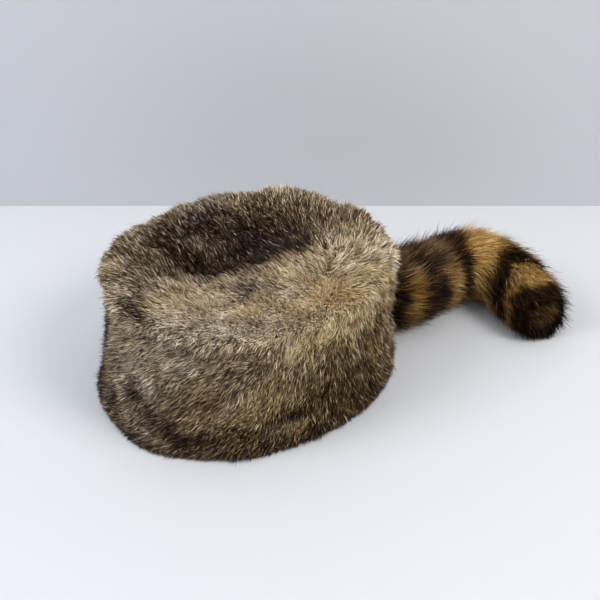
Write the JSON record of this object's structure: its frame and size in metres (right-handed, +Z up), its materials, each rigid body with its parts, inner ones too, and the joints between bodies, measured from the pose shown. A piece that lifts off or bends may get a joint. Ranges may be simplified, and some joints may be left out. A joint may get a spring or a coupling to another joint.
{
  "type": "fur hat",
  "caption": "Round fur cap with a deep-fur side band, a soft sunken crown with a puffy rim and a ringed tail sewn on at the back; it stands on its band with the tail lying beside it.",
  "frame": {"origin": "middle of the footprint of hat and tail together, on the surface the hat stands on", "axes": "+Y from the front of the hat to the back, where the tail is sewn on; +X towards the wearer's left ear; +Z up"},
  "size_m": [0.2442, 0.398, 0.1115],
  "materials": {
    "crown_fur": "soft grey-brown fur, pale in front and dark in the hollow",
    "band_fur": "soft grey-brown fur with dark patches",
    "tail_fur": "soft long fur in tan and dark brown rings",
    "pelt_leather": "the bare side of the pelt, matt"
  },
  "bodies": {
    "root": {"crown": "crown_fur", "side_band": "band_fur", "tail": "tail_fur"}
  },
  "joints": []
}
